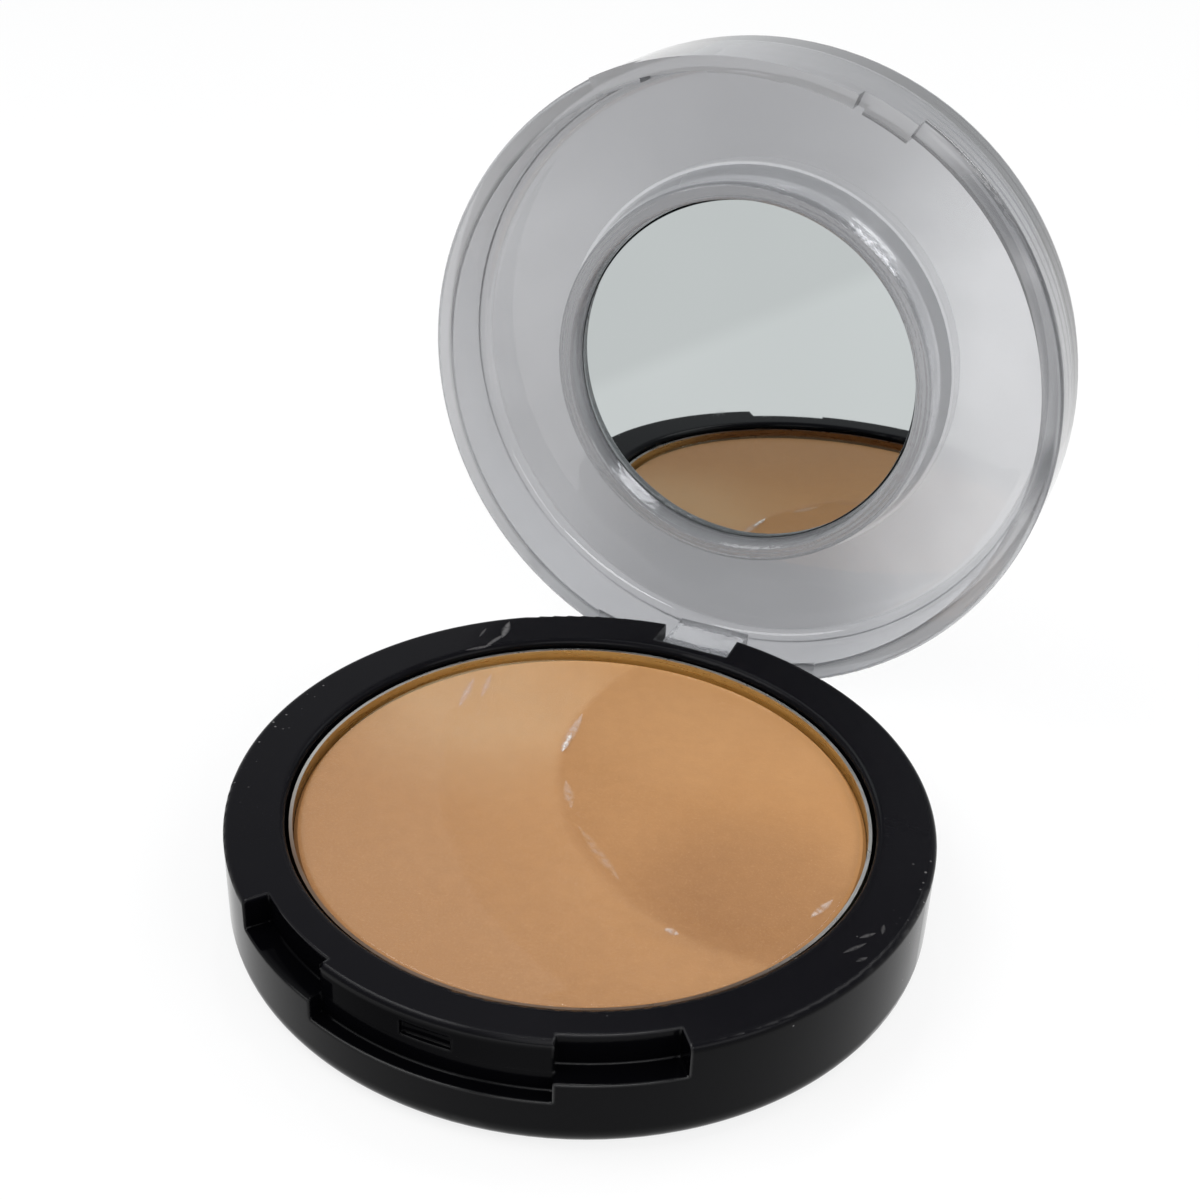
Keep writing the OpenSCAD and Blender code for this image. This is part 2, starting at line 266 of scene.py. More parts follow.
# Clear film, lying on the powder to the right of a bow and lifted off it to the left
FILM_BOW_CENTRE = Vector((23.1, 16.5)) * MM
FILM_BOW_RADIUS = 29.9 * MM
FILM_THICKNESS = 0.12 * MM
FILM_CLEARANCE = 0.03 * MM
FILM_LIFT = 0.34 * MM
FILM_LIFT_REACH = 15.0 * MM
FILM_RIDGE = 0.05 * MM
FILM_RIDGE_WIDTH = 0.55 * MM
FILM_WAVE = 0.09 * MM
FILM_WAVE_LENGTH = 11.0 * MM
FILM_LIP = 0.22 * MM
FILM_LIP_WIDTH = 2.2 * MM
FILM_LIP_TOWARDS = Vector((0.90, -0.43))
FILM_RINGS = 110
FILM_SPOKES = 240

# Film's tint where it lies and where it is lifted, and what its skin reflects straight on and at a graze
FILM_TINTS = ((0.977, 0.979, 0.985), (0.999, 0.999, 0.999))
FILM_BOW_EDGE = (-0.4 * MM, 1.2 * MM)
FILM_GLOSS = 0.015
FILM_GRAZE = 0.12
FILM_GLOSS_ROUGHNESS = 0.05

# Milky bloom on the lifted film, brightest as a painted highlight round one point from which it fades,
# and white painted glints on its creases
FILM_CREAM = (0.97, 0.79, 0.50)
FILM_GLINT_WHITE = (0.87, 0.85, 0.82)
FILM_MILK_ROUGHNESS = 0.6
FILM_HIGHLIGHT_AT = Vector((-17.5, 14.0)) * MM
FILM_HIGHLIGHT_REACH = (21 * MM, 3 * MM)
FILM_HAZE_AND_HIGHLIGHT_SHARES = (0.022, 0.115)

# Each crease's start, end and half width in millimetres, and the strength of its white painted glint
FILM_CREASES = (
    ((-6.2, 8.6), (-6.9, 16.2), 0.60, 0.20),
    ((-6.0, 8.7), (-6.5, 12.4), 0.34, 0.65),
    ((-19.6, 11.0), (-20.7, 17.2), 0.42, 0.20),
    ((-18.3, 14.0), (-19.3, 18.6), 0.36, 0.16),
    ((-3.6, 4.2), (-1.2, 0.2), 0.60, 0.09),
    ((0.6, -2.2), (7.7, -8.3), 0.60, 0.06),
    ((14.1, -12.9), (15.6, -13.1), 0.45, 0.25),
    ((26.2, -5.6), (27.4, -2.3), 0.45, 0.22),
)

# Range in which most of the noise lies
NOISE_SPAN = (0.3, 0.7)


# Node helpers


def add(tree, kind, inputs=None, **settings):
    """A node of that kind. Each input takes a value or another node's output socket."""
    node = tree.nodes.new(kind)
    for key, value in settings.items():
        setattr(node, key, value)
    for key, value in (inputs or {}).items():
        if isinstance(value, bpy.types.NodeSocket):
            tree.links.new(value, node.inputs[key])
        else:
            node.inputs[key].default_value = value
    return node


def empty_tree(owner):
    """The node tree of a material or world, with nothing in it."""
    owner.use_nodes = True
    owner.node_tree.nodes.clear()
    return owner.node_tree


def new_material(name):
    """A material of that name, and its empty node tree."""
    material = bpy.data.materials.new(name)
    return material, empty_tree(material)


def maths(tree, operation, *values):
    """One sum on values or sockets."""
    node = add(tree, "ShaderNodeMath", dict(enumerate(values)), operation=operation)
    return node.outputs["Value"]


def product(tree, first, *others):
    """All the values multiplied."""
    for other in others:
        first = maths(tree, "MULTIPLY", first, other)
    return first


def largest(tree, first, *others):
    """The largest of the values."""
    for other in others:
        first = maths(tree, "MAXIMUM", first, other)
    return first


def blend(tree, share, first, second):
    """first where share is 0 and second where it is 1, for numbers."""
    return maths(tree, "MULTIPLY_ADD", share, maths(tree, "SUBTRACT", second, first), first)


def vector(tree, operation, *values):
    """A vector worked out from vectors."""
    node = add(tree, "ShaderNodeVectorMath", dict(enumerate(values)), operation=operation)
    return node.outputs["Vector"]


def measure(tree, operation, *values):
    """A number worked out from vectors."""
    node = add(tree, "ShaderNodeVectorMath", dict(enumerate(values)), operation=operation)
    return node.outputs["Value"]


def place(tree):
    """A point's place on its piece, which is its place in the frame at rest."""
    return add(tree, "ShaderNodeTexCoord").outputs["Object"]


def own_normal(tree):
    """A point's normal on its piece, in the frame at rest."""
    return add(tree, "ShaderNodeTexCoord").outputs["Normal"]


def axes(tree, source):
    """The X, Y and Z of a vector socket."""
    apart = add(tree, "ShaderNodeSeparateXYZ", {"Vector": source})
    return [apart.outputs[axis] for axis in "XYZ"]


def distance_to(tree, point):
    """Distance from a point of the frame."""
    return measure(tree, "DISTANCE", place(tree), point)


def level_place(tree):
    """A point's place as seen from above, at height 0."""
    return vector(tree, "MULTIPLY", place(tree), (1.0, 1.0, 0.0))


def remap(tree, value, low, high, to_low=0.0, to_high=1.0):
    """value carried smoothly from low..high to to_low..to_high, and held at the ends."""
    node = add(
        tree,
        "ShaderNodeMapRange",
        {
            "Value": value,
            "From Min": low,
            "From Max": high,
            "To Min": to_low,
            "To Max": to_high,
        },
        interpolation_type="SMOOTHSTEP",
    )
    return node.outputs["Result"]


def between(tree, value, low, high, soft):
    """1 where value is between low and high, falling to 0 over soft beyond them."""
    above = remap(tree, value, low - soft, low)
    below = remap(tree, value, high + soft, high)
    return product(tree, above, below)


def waves(tree, value, spacing):
    """A sine from -1 to 1 that repeats as value grows by that spacing."""
    return maths(tree, "SINE", product(tree, value, 2 * math.pi / spacing))


def scaled_place(tree, scale):
    """The place with each axis multiplied by its scale."""
    mapping = add(tree, "ShaderNodeMapping", {"Vector": place(tree), "Scale": scale})
    return mapping.outputs["Vector"]


def grain(tree, size, detail=3.0, roughness=0.55, stretch=(1, 1, 1), distortion=0.0):
    """Noise from 0 to 1 with features of about that size."""
    texture = add(
        tree,
        "ShaderNodeTexNoise",
        {
            "Vector": scaled_place(tree, [axis / size for axis in stretch]),
            "Scale": 1.0,
            "Detail": detail,
            "Roughness": roughness,
            "Distortion": distortion,
        },
    )
    return texture.outputs["Fac"]


def uneven(tree, size, low, high, span=NOISE_SPAN, **settings):
    """A value that wanders from low to high over that size, as noise goes through its span."""
    return remap(tree, grain(tree, size, **settings), *span, low, high)


def specks(tree, spacing, radius, share):
    """Round specks, 1 in the middle of each, on that share of a jittered grid's cells."""
    cells = add(
        tree,
        "ShaderNodeTexVoronoi",
        {"Vector": scaled_place(tree, [1 / spacing] * 3), "Scale": 1.0, "Randomness": 1.0},
    )
    spot = remap(tree, cells.outputs["Distance"], radius / spacing, 0.4 * radius / spacing)
    pick = add(tree, "ShaderNodeSeparateColor", {"Color": cells.outputs["Color"]})
    chosen = remap(tree, pick.outputs["Red"], 1 - share, 1 - share + 0.02)
    return product(tree, spot, chosen)


def stroke(tree, start, end, half_width):
    """1 along a line as seen from above, thinning out to 0 at its ends and sides."""
    origin = Vector((*start, 0.0)) * MM
    along = Vector((*end, 0.0)) * MM - origin
    offset = vector(tree, "SUBTRACT", level_place(tree), origin)
    reach = measure(tree, "DOT_PRODUCT", offset, along / along.length_squared)
    share = maths(tree, "MINIMUM", maths(tree, "MAXIMUM", reach, 0.0), 1.0)
    nearest = add(tree, "ShaderNodeVectorMath", {0: along, "Scale": share}, operation="SCALE")
    gap = measure(tree, "DISTANCE", offset, nearest.outputs["Vector"])
    hump = product(tree, share, maths(tree, "SUBTRACT", 1.0, share))
    spread = maths(tree, "DIVIDE", gap, maths(tree, "MULTIPLY_ADD", hump, 4.0, 0.05))
    return remap(tree, spread, 1.2 * half_width * MM, 0.1 * half_width * MM)


def strokes(tree, lines):
    """The strongest of several strokes, each as strong as its line says."""
    strongest = 0.0
    for start, end, half_width, strength in lines:
        line = product(tree, stroke(tree, start, end, half_width), strength)
        strongest = largest(tree, strongest, line)
    return strongest


def mix_colours(tree, share, first, second):
    """first where share is 0 and second where it is 1, for colours."""
    node = add(tree, "ShaderNodeMix", data_type="RGBA")
    for key, value in (("Factor", share), ("A", first), ("B", second)):
        socket = next(s for s in node.inputs if s.name == key and s.enabled)
        if isinstance(value, bpy.types.NodeSocket):
            tree.links.new(value, socket)
        else:
            socket.default_value = value if key == "Factor" else (*value, 1.0)
    return next(s for s in node.outputs if s.enabled)


def mix_shaders(tree, share, first, second):
    """first where share is 0 and second where it is 1, for shaders."""
    node = add(tree, "ShaderNodeMixShader", {0: share, 1: first, 2: second})
    return node.outputs["Shader"]


def bump(tree, height, depth, strength=1.0, base=None):
    """A normal roughened by a height from 0 to 1, which stands for that depth."""
    inputs = {"Height": height, "Distance": depth, "Strength": strength}
    if base is not None:
        inputs["Normal"] = base
    return add(tree, "ShaderNodeBump", inputs).outputs["Normal"]


def leaned(tree, lean):
    """The normal tipped by a small vector of the frame at rest, which turns with the piece."""
    turned = add(
        tree,
        "ShaderNodeVectorTransform",
        {"Vector": vector(tree, "ADD", own_normal(tree), lean)},
        vector_type="NORMAL",
        convert_from="OBJECT",
        convert_to="WORLD",
    )
    return turned.outputs["Vector"]


def principled(tree, colour, roughness, **inputs):
    """The main shader, with its colour as a socket."""
    values = {"Base Color": colour, "Roughness": roughness}
    for key, value in inputs.items():
        values[key.replace("_", " ")] = value
    return add(tree, "ShaderNodeBsdfPrincipled", values).outputs["BSDF"]


def transparent(tree, colour):
    """A plain gap that tints what is seen through it."""
    return add(tree, "ShaderNodeBsdfTransparent", {"Color": colour}).outputs["BSDF"]


def diffuse(tree, colour):
    """A plain matt surface."""
    return add(tree, "ShaderNodeBsdfDiffuse", {"Color": colour}).outputs["BSDF"]


def output(tree, shader, **inputs):
    """The material's end, with its surface shader and, where given, its volume."""
    add(tree, "ShaderNodeOutputMaterial", {"Surface": shader, **inputs})


def lets_lamps_through(tree, shader, colour):
    """The shader, but a plain tinted gap for the rays that lamps cast shadows with."""
    path = add(tree, "ShaderNodeLightPath")
    gap = transparent(tree, (*colour, 1.0))
    return mix_shaders(tree, path.outputs["Is Shadow Ray"], shader, gap)


# Materials of the base


def black_plastic(name):
    """Black moulding, satin on top and polished elsewhere, with glossy edges, dust and scratches, and
    painted shade in the front recess.
    """
    material, tree = new_material(name)
    low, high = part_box("base_body")
    height = axes(tree, place(tree))[2]
    on_top = remap(tree, height, *(high.z - depth for depth in SATIN_DEPTH))
    broken = uneven(tree, 0.5 * MM, 0.4, 1.0, (0.3, 0.55), detail=4.0)
    scratches = product(tree, strokes(tree, BASE_SCRATCHES), broken)
    dust = rim_dust(tree, high.z, (high.x - low.x) / 2)
    marks = largest(tree, product(tree, scratches, on_top), dust)
    polished = mix_colours(tree, grain(tree, 14 * MM), *BASE_POLISHED)
    satin = mix_colours(tree, grain(tree, 11 * MM), *BASE_SATIN)
    tone = mix_colours(tree, on_top, polished, satin)
    gloss = uneven(tree, 6 * MM, *BASE_ROUGHNESS, (0.3, 0.75), detail=5.0)
    finish = maths(tree, "MULTIPLY_ADD", on_top, SATIN_ROUGHER, gloss)
    bevel = add(tree, "ShaderNodeBevel", {"Radius": EDGE_SOFTNESS}, samples=8)
    soft_edges = bevel.outputs["Normal"]
    moulded = principled(
        tree,
        mix_colours(tree, product(tree, marks, DUST_COVER), tone, DUST_GREY),
        maths(tree, "ADD", finish, product(tree, marks, DUST_ROUGHER)),
        Normal=bump(tree, grain(tree, 0.35 * MM), 0.003 * MM, base=soft_edges),
        Specular_IOR_Level=BASE_SPECULAR,
        IOR=BASE_IOR,
        Coat_Weight=edge_gloss(tree, soft_edges),
        Coat_Roughness=COAT_ROUGHNESS,
        Coat_Normal=soft_edges,
    )
    # Painted shade: a dark matt shader mixed into the recess at the front
    recess_shade_shader = diffuse(tree, (*RECESS_PAINTED_SHADE, 1.0))
    output(tree, mix_shaders(tree, recess_painted_shade(tree, high), moulded, recess_shade_shader))
    return material


def edge_gloss(tree, soft_edges):
    """Weight of the bright coat on the softened edges, more of it towards the right."""
    flat = add(tree, "ShaderNodeNewGeometry").outputs["Normal"]
    at_edge = remap(tree, measure(tree, "DOT_PRODUCT", soft_edges, flat), *EDGE_COSINES)
    worn_bright = remap(tree, axes(tree, place(tree))[0], *COAT_ACROSS, *COAT_WEIGHTS)
    return product(tree, at_edge, worn_bright)


def recess_painted_shade(tree, high):
    """Share of painted shade in the recess at the front, more of it towards the left."""
    x, y, z = axes(tree, place(tree))
    from_axis = measure(tree, "LENGTH", level_place(tree))
    below = remap(tree, z, *(high.z - depth for depth in RECESS_DEPTH))
    inward = remap(tree, from_axis, *(high.x - inset for inset in RECESS_INSET))
    front = remap(tree, y, *RECESS_FRONT)
    share = remap(tree, x, *RECESS_ACROSS, *RECESS_SHARES)
    return product(tree, product(tree, below, inward), product(tree, front, share))


def rim_dust(tree, top, radius):
    """Dust that gathers at the outer edge in a few stretches, and sparse specks elsewhere."""
    from_axis = distance_to(tree, (0.0, 0.0, top))
    at_edge = remap(tree, from_axis, radius - DUST_BAND, radius - 0.3 * DUST_BAND)
    thick = specks(tree, *DUST_SPECKS)
    dust = product(tree, specks(tree, *STRAY_SPECKS), STRAY_STRENGTH)
    for centre, reach in DUST_PATCHES:
        near = remap(tree, distance_to(tree, (*centre, top)), reach, 0.3 * reach)
        dust = largest(tree, dust, product(tree, near, at_edge, thick, DUST_STRENGTH))
    return dust


def matt_plastic(name):
    """Fine spark-eroded black of the bottom cover."""
    material, tree = new_material(name)
    tone = mix_colours(tree, grain(tree, 9 * MM), *COVER_BLACK)
    roughness = uneven(tree, 1.2 * MM, *COVER_ROUGHNESS)
    normal = bump(tree, grain(tree, 0.22 * MM, detail=4.0), 0.02 * MM)
    output(tree, principled(tree, tone, roughness, Normal=normal))
    return material


def pressed_powder(name):
    """Matt tan powder with pressed grain, soft blotches, painted shade towards the front left and a few
    darker grains.
    """
    material, tree = new_material(name)
    blotch = mix_colours(tree, uneven(tree, 17 * MM, 0.0, 1.0, detail=2.0), *POWDER_TAN)
    shaded_and_patched = mix_colours(tree, powder_shade_and_patch(tree), blotch, POWDER_SHADE_AND_PATCH)
    light = uneven(tree, 0.28 * MM, 0.0, 0.5, (0.5, 0.9))
    fine = mix_colours(tree, light, shaded_and_patched, POWDER_LIGHT_GRAIN)
    dark = product(tree, specks(tree, *DARK_GRAINS), DARK_GRAIN_STRENGTH)
    shader = principled(
        tree,
        mix_colours(tree, dark, fine, POWDER_DARK_GRAIN),
        uneven(tree, 2 * MM, *POWDER_ROUGHNESS),
        Normal=bump(tree, grain(tree, 0.24 * MM, detail=4.0), 0.03 * MM),
        Specular_IOR_Level=POWDER_SPECULAR,
    )
    output(tree, shader)
    return material


def powder_shade_and_patch(tree):
    """How far the powder is darkened: painted shade towards the front left, a darker patch, and
    mottling.
    """
    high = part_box("powder_cake")[1]
    forward = measure(tree, "DOT_PRODUCT", place(tree), POWDER_SHADE_TOWARDS)
    # Painted shade: the powder darkens towards the front left
    to_front = remap(tree, forward, -high.y, 0.9 * high.y)
    from_patch = distance_to(tree, (*POWDER_PATCH_AT, high.z))
    patch = remap(tree, from_patch, *POWDER_PATCH_REACH, *POWDER_PATCH_SHARES)
    mottle = uneven(tree, 1.6 * MM, *POWDER_MOTTLE, detail=4.0)
    return maths(tree, "ADD", maths(tree, "ADD", to_front, patch), mottle)


def pressed_sheet(name):
    """Thin drawn metal of the pan: a bright edge, and a golden wall, darker towards the front."""
    material, tree = new_material(name)
    low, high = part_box("powder_pan")
    _, y, z = axes(tree, place(tree))
    lines = grain(tree, 0.6 * MM, stretch=(0.2, 0.2, 3.0))
    bare = mix_colours(tree, lines, *PAN_BARE)
    wall = mix_colours(tree, lines, *PAN_GOLDEN)
    at_edge = remap(tree, z, *(high.z - depth for depth in PAN_EDGE_DEPTH))
    plain_tone = mix_colours(tree, at_edge, wall, bare)
    darker_front = remap(tree, y, 0.1 * low.y, 0.7 * low.y, 0.0, 0.9)
    colour = mix_colours(tree, darker_front, plain_tone, PAN_DARK_FRONT)
    roughness = remap(tree, lines, *NOISE_SPAN, *PAN_ROUGHNESS)
    output(tree, principled(tree, colour, roughness, Metallic=1.0))
    return material


def drawn_wire(name):
    """Bright steel of the hinge pin, brushed along its length."""
    material, tree = new_material(name)
    lines = grain(tree, 0.12 * MM, stretch=(0.05, 1.0, 1.0))
    colour = mix_colours(tree, lines, *PIN_STEEL)
    roughness = remap(tree, lines, *NOISE_SPAN, *PIN_ROUGHNESS)
    output(tree, principled(tree, colour, roughness, Metallic=1.0))
    return material


def hot_melt(name):
    """Cloudy yellowish adhesive under the pan."""
    material, tree = new_material(name)
    cloud = grain(tree, 4 * MM)
    colour = mix_colours(tree, cloud, *GLUE_YELLOW)
    roughness = remap(tree, cloud, *NOISE_SPAN, *GLUE_ROUGHNESS)
    output(tree, principled(tree, colour, roughness, Normal=bump(tree, cloud, 0.08 * MM)))
    return material


def clear_film(name):
    """Thin clear film: a gap with a skin of gloss, a faint bloom where it is lifted that brightens into
    a painted highlight round one point, and white painted glints on its creases.
    """
    material, tree = new_material(name)
    powder_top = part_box("powder_cake")[1].z
    from_bow = distance_to(tree, (*FILM_BOW_CENTRE, powder_top))
    lifted = remap(tree, from_bow, *(FILM_BOW_RADIUS + edge for edge in FILM_BOW_EDGE))
    cloud = uneven(tree, 9 * MM, 0.8, 1.0, (0.3, 0.75))
    from_highlight = distance_to(tree, (*FILM_HIGHLIGHT_AT, powder_top))
    haze_and_highlight = remap(tree, from_highlight, *FILM_HIGHLIGHT_REACH, *FILM_HAZE_AND_HIGHLIGHT_SHARES)
    torn = uneven(tree, 0.5 * MM, 0.2, 1.0, (0.35, 0.62), detail=4.0)
    crease_glints = product(tree, strokes(tree, FILM_CREASES), torn)
    # Whiteness: milky haze with a painted highlight, and painted glints along the creases
    whiteness = largest(tree, product(tree, lifted, cloud, haze_and_highlight), crease_glints)
    gap = transparent(tree, mix_colours(tree, lifted, *FILM_TINTS))
    milk_tone = mix_colours(tree, remap(tree, crease_glints, 0.0, 0.05), FILM_CREAM, FILM_GLINT_WHITE)
    hazed = mix_shaders(tree, whiteness, gap, principled(tree, milk_tone, FILM_MILK_ROUGHNESS))
    skin = add(
        tree,
        "ShaderNodeBsdfGlossy",
        {"Color": (1.0, 1.0, 1.0, 1.0), "Roughness": FILM_GLOSS_ROUGHNESS},
    )
    output(tree, mix_shaders(tree, skin_share(tree), hazed, skin.outputs["BSDF"]))
    return material


def skin_share(tree):
    """Share of light that a thin clear skin reflects, the same from both its sides."""
    facing = add(tree, "ShaderNodeLayerWeight", {"Blend": 0.5}).outputs["Facing"]
    rise = maths(tree, "POWER", facing, 5.0)
    return maths(tree, "MULTIPLY_ADD", rise, FILM_GRAZE - FILM_GLOSS, FILM_GLOSS)


# Materials of the lid


def clear_plastic(name):
    """Clear lid moulding: smoky in its depth and hazy on its walls, with painted shade, painted light
    and painted dark lines in its tint, and ripples round the mirror.
    """
    material, tree = new_material(name)
    lug = at_lug(tree)
    walls = largest(tree, painted_pale_wall(tree), collar_ring(tree, COLLAR_WALL), skirt_edge(tree))
    hazy = remap(tree, walls, 0.0, 1.0, LID_CLEARNESS, WALL_CLEARNESS)
    # Painted shade and light: the tint runs from dark to pale by a shade mask, with painted dark lines
    # on the wall
    painted_tone = mix_colours(tree, lid_painted_shade(tree, lug), *LID_PAINTED_TINTS)
    shader = principled(
        tree,
        mix_colours(tree, painted_wall_lines(tree), painted_tone, LID_PAINTED_LINE),
        uneven(tree, 5 * MM, *LID_ROUGHNESS, (0.35, 0.8), detail=4.0),
        Normal=lid_ripples(tree, lug),
        IOR=LID_IOR,
        Transmission_Weight=blend(tree, lug, hazy, LUG_CLEARNESS),
    )
    depth = add(
        tree, "ShaderNodeVolumeAbsorption", {"Color": (*LID_DEPTH, 1.0), "Density": LID_DENSITY}
    )
    output(tree, lets_lamps_through(tree, shader, LID_SHADOW), Volume=depth.outputs["Volume"])
    return material


def lid_ripples(tree, lug):
    """The lid's normal: slow flow all over, turning marks on the collar, and ripples at seat and lug."""
    flow = bump(tree, grain(tree, 12 * MM, detail=2.0), 0.05 * MM, 0.35)
    seat = collar_ring(tree, COLLAR_FACE)
    turned = waves(tree, from_lid_axis(tree), TURNING_SPACING)
    marks = product(tree, turned, seat, TURNING_STRENGTH)
    rough = largest(tree, product(tree, seat, SEAT_RIPPLE), product(tree, lug, LUG_RIPPLE))
    ripple = maths(tree, "MULTIPLY_ADD", grain(tree, 1.1 * MM), rough, marks)
    return bump(tree, ripple, RIPPLE_DEPTH, base=flow)


def lid_painted_shade(tree, lug):
    """Painted shade and light of the lid, from 0 at its darkest to 1 at its palest."""
    wall = product(tree, painted_pale_wall(tree), WALL_SHADE)
    shell = blend(tree, on_lid_wall(tree), dish_painted_shade(tree), wall)
    # Painted shade in a dark ring on the collar, and painted light on the collar's wall, the skirt and
    # the lug
    painted_dark_ring = remap(tree, collar_ring(tree, COLLAR_PAINTED_DARK), 0.0, 1.0, 1.0, COLLAR_PAINTED_DARK_SHADE)
    painted_pale_ring = product(tree, collar_ring(tree, COLLAR_WALL), COLLAR_WALL_SHADE)
    skirt = product(tree, skirt_edge(tree), SKIRT_SHADE)
    painted_pale = largest(tree, lug, painted_pale_ring, skirt)
    return largest(tree, product(tree, shell, painted_dark_ring), painted_pale)


def dish_painted_shade(tree):
    """Painted shade of the lid's dish: palest at its right, darker at top and foot, and cloudy."""
    low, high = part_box("lid_shell")
    middle = (low.y + high.y) / 2
    x = axes(tree, place(tree))[0]
    across = remap(tree, x, 0.3 * low.x, 0.85 * high.x, *DISH_ACROSS_SHADES)
    from_top = distance_to(tree, (0.0, middle, high.z))
    under_top = remap(tree, from_top, *DISH_TOP_REACH, *DISH_TOP_SHADES)
    from_foot = distance_to(tree, (0.0, middle, low.z + 0.1 * (high.z - low.z)))
    over_foot = remap(tree, from_foot, *DISH_FOOT_REACH, *DISH_FOOT_SHADES)
    cloud = uneven(tree, 20 * MM, *DISH_CLOUD, detail=2.0, distortion=0.6)
    return product(tree, across, product(tree, under_top, over_foot), cloud)


def skirt_edge(tree):
    """1 on the end face of the lid's skirt, at the top of the open lid."""
    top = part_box("lid_shell")[1].z
    forward = remap(tree, axes(tree, own_normal(tree))[1], *SKIRT_FACING)
    at_top = remap(tree, axes(tree, place(tree))[2], *(share * top for share in SKIRT_HEIGHT))
    return product(tree, on_lid_wall(tree), product(tree, forward, at_top))


def at_lug(tree):
    """1 on the lid's lug: round the hinge pin, below the lid's rim or inside its wall."""
    low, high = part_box("hinge_pin")
    pin = (low + high) / 2
    near = remap(tree, distance_to(tree, pin), *LUG_REACH)
    rim = pin.dot(lid_axis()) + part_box("base_body")[1].z - pin.z
    along = measure(tree, "DOT_PRODUCT", place(tree), lid_axis())
    below = remap(tree, along, *(rim + above for above in LUG_ABOVE_RIM))
    inside = maths(tree, "SUBTRACT", 1.0, on_lid_wall(tree))
    return product(tree, near, largest(tree, below, inside))


def on_lid_wall(tree):
    """1 on the lid's outer wall and 0 inside it."""
    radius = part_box("lid_shell")[1].x
    return remap(tree, from_lid_axis(tree), *(share * radius for share in WALL_FROM))


def painted_pale_wall(tree):
    """1 on the stretches of the lid's wall that are painted paler, and hazier: at its left below the
    top, and low down all round.
    """
    low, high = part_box("lid_shell")
    x, _, z = axes(tree, place(tree))
    from_top = distance_to(tree, (0.0, (low.y + high.y) / 2, high.z))
    under_top = remap(tree, from_top, *WALL_TOP_REACH, *WALL_TOP_SHADES)
    at_left = remap(tree, x, 0.6 * low.x, 0.5 * high.x, 1.0, 0.0)
    low_down = remap(tree, z, *WALL_LOW)
    painted_pale = largest(tree, product(tree, at_left, under_top), low_down)
    return product(tree, on_lid_wall(tree), painted_pale)


def painted_wall_lines(tree):
    """Strength of the painted dark lines round the right of the lid's wall."""
    x, y, z = axes(tree, place(tree))
    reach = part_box("lid_shell")[1].x
    right = remap(tree, x, 0.3 * reach, 0.75 * reach)
    upper = remap(tree, z, *LINE_HEIGHT)
    thin = remap(tree, waves(tree, y, LINE_SPACING), 0.2, 0.95)
    where = product(tree, on_lid_wall(tree), product(tree, right, upper))
    return product(tree, thin, where, LINE_STRENGTH)


def collar_ring(tree, shares):
    """1 in a ring round the mirror, from one share of the mirror's radius to another."""
    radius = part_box("mirror")[1].x
    inner, outer = (share * radius for share in shares)
    return between(tree, from_lid_axis(tree), inner, outer, COLLAR_SOFT * radius)


def lid_axis():
    """Direction of the open lid's axis, towards its outer face."""
    turn = math.radians(frame["record"]["behaviour"]["joints"][0]["range_deg"][1])
    return Vector((0.0, math.sin(turn), math.cos(turn)))


def from_lid_axis(tree):
    """Distance from the axis of the open lid, which runs through the middle of the mirror."""
    low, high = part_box("mirror")
    offset = vector(tree, "SUBTRACT", place(tree), (low + high) / 2)
    return measure(tree, "LENGTH", vector(tree, "CROSS_PRODUCT", offset, lid_axis()))


def mirror_glass(name):
    """Silvered glass with painted shade at its edge and a painted reflection, a darker stretch on its
    upper part.
    """
    material, tree = new_material(name)
    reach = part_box("mirror")[1].x
    from_axis = from_lid_axis(tree)
    edge = remap(tree, from_axis, *(share * reach for share in MIRROR_EDGE_FROM))
    side = remap(tree, from_axis, *(share * reach for share in MIRROR_SIDE_FROM))
    plain_tone = mix_colours(tree, grain(tree, 16 * MM, detail=1.0), *MIRROR_SILVER)
    # Painted reflection: the silver darkens beyond a straight edge
    silver = mix_colours(tree, mirror_painted_reflection(tree), plain_tone, PAINTED_REFLECTION_TONE)
    # Painted shade in a dark ring round the mirror's edge
    faced = mix_colours(tree, edge, silver, MIRROR_EDGE_SHADE)
    colour = mix_colours(tree, side, faced, MIRROR_SIDE)
    smeared = uneven(tree, 3 * MM, *MIRROR_ROUGHNESS, (0.55, 0.8), detail=5.0)
    roughness = maths(tree, "MULTIPLY_ADD", side, MIRROR_SIDE_ROUGHER, smeared)
    normal = leaned(tree, MIRROR_LEAN)
    output(tree, principled(tree, colour, roughness, Metallic=1.0, Normal=normal))
    return material


def mirror_painted_reflection(tree):
    """Strength of the painted reflection, the darker stretch of the mirror."""
    towards = PAINTED_REFLECTION_TOWARDS.normalized()
    start = PAINTED_REFLECTION_AT.dot(towards)
    across = measure(tree, "DOT_PRODUCT", place(tree), towards)
    return remap(tree, across, start - PAINTED_REFLECTION_SOFT, start + PAINTED_REFLECTION_SOFT, *PAINTED_REFLECTION_SHARES)


def paper_tape(name):
    """Off-white adhesive ring behind the mirror, with a fibrous tone."""
    material, tree = new_material(name)
    fibre = grain(tree, 0.5 * MM, stretch=(1.0, 0.3, 1.0), detail=5.0)
    colour = mix_colours(tree, fibre, *TAPE_WHITE)
    output(tree, principled(tree, colour, TAPE_ROUGHNESS, Normal=bump(tree, fibre, 0.02 * MM)))
    return material


# Pieces


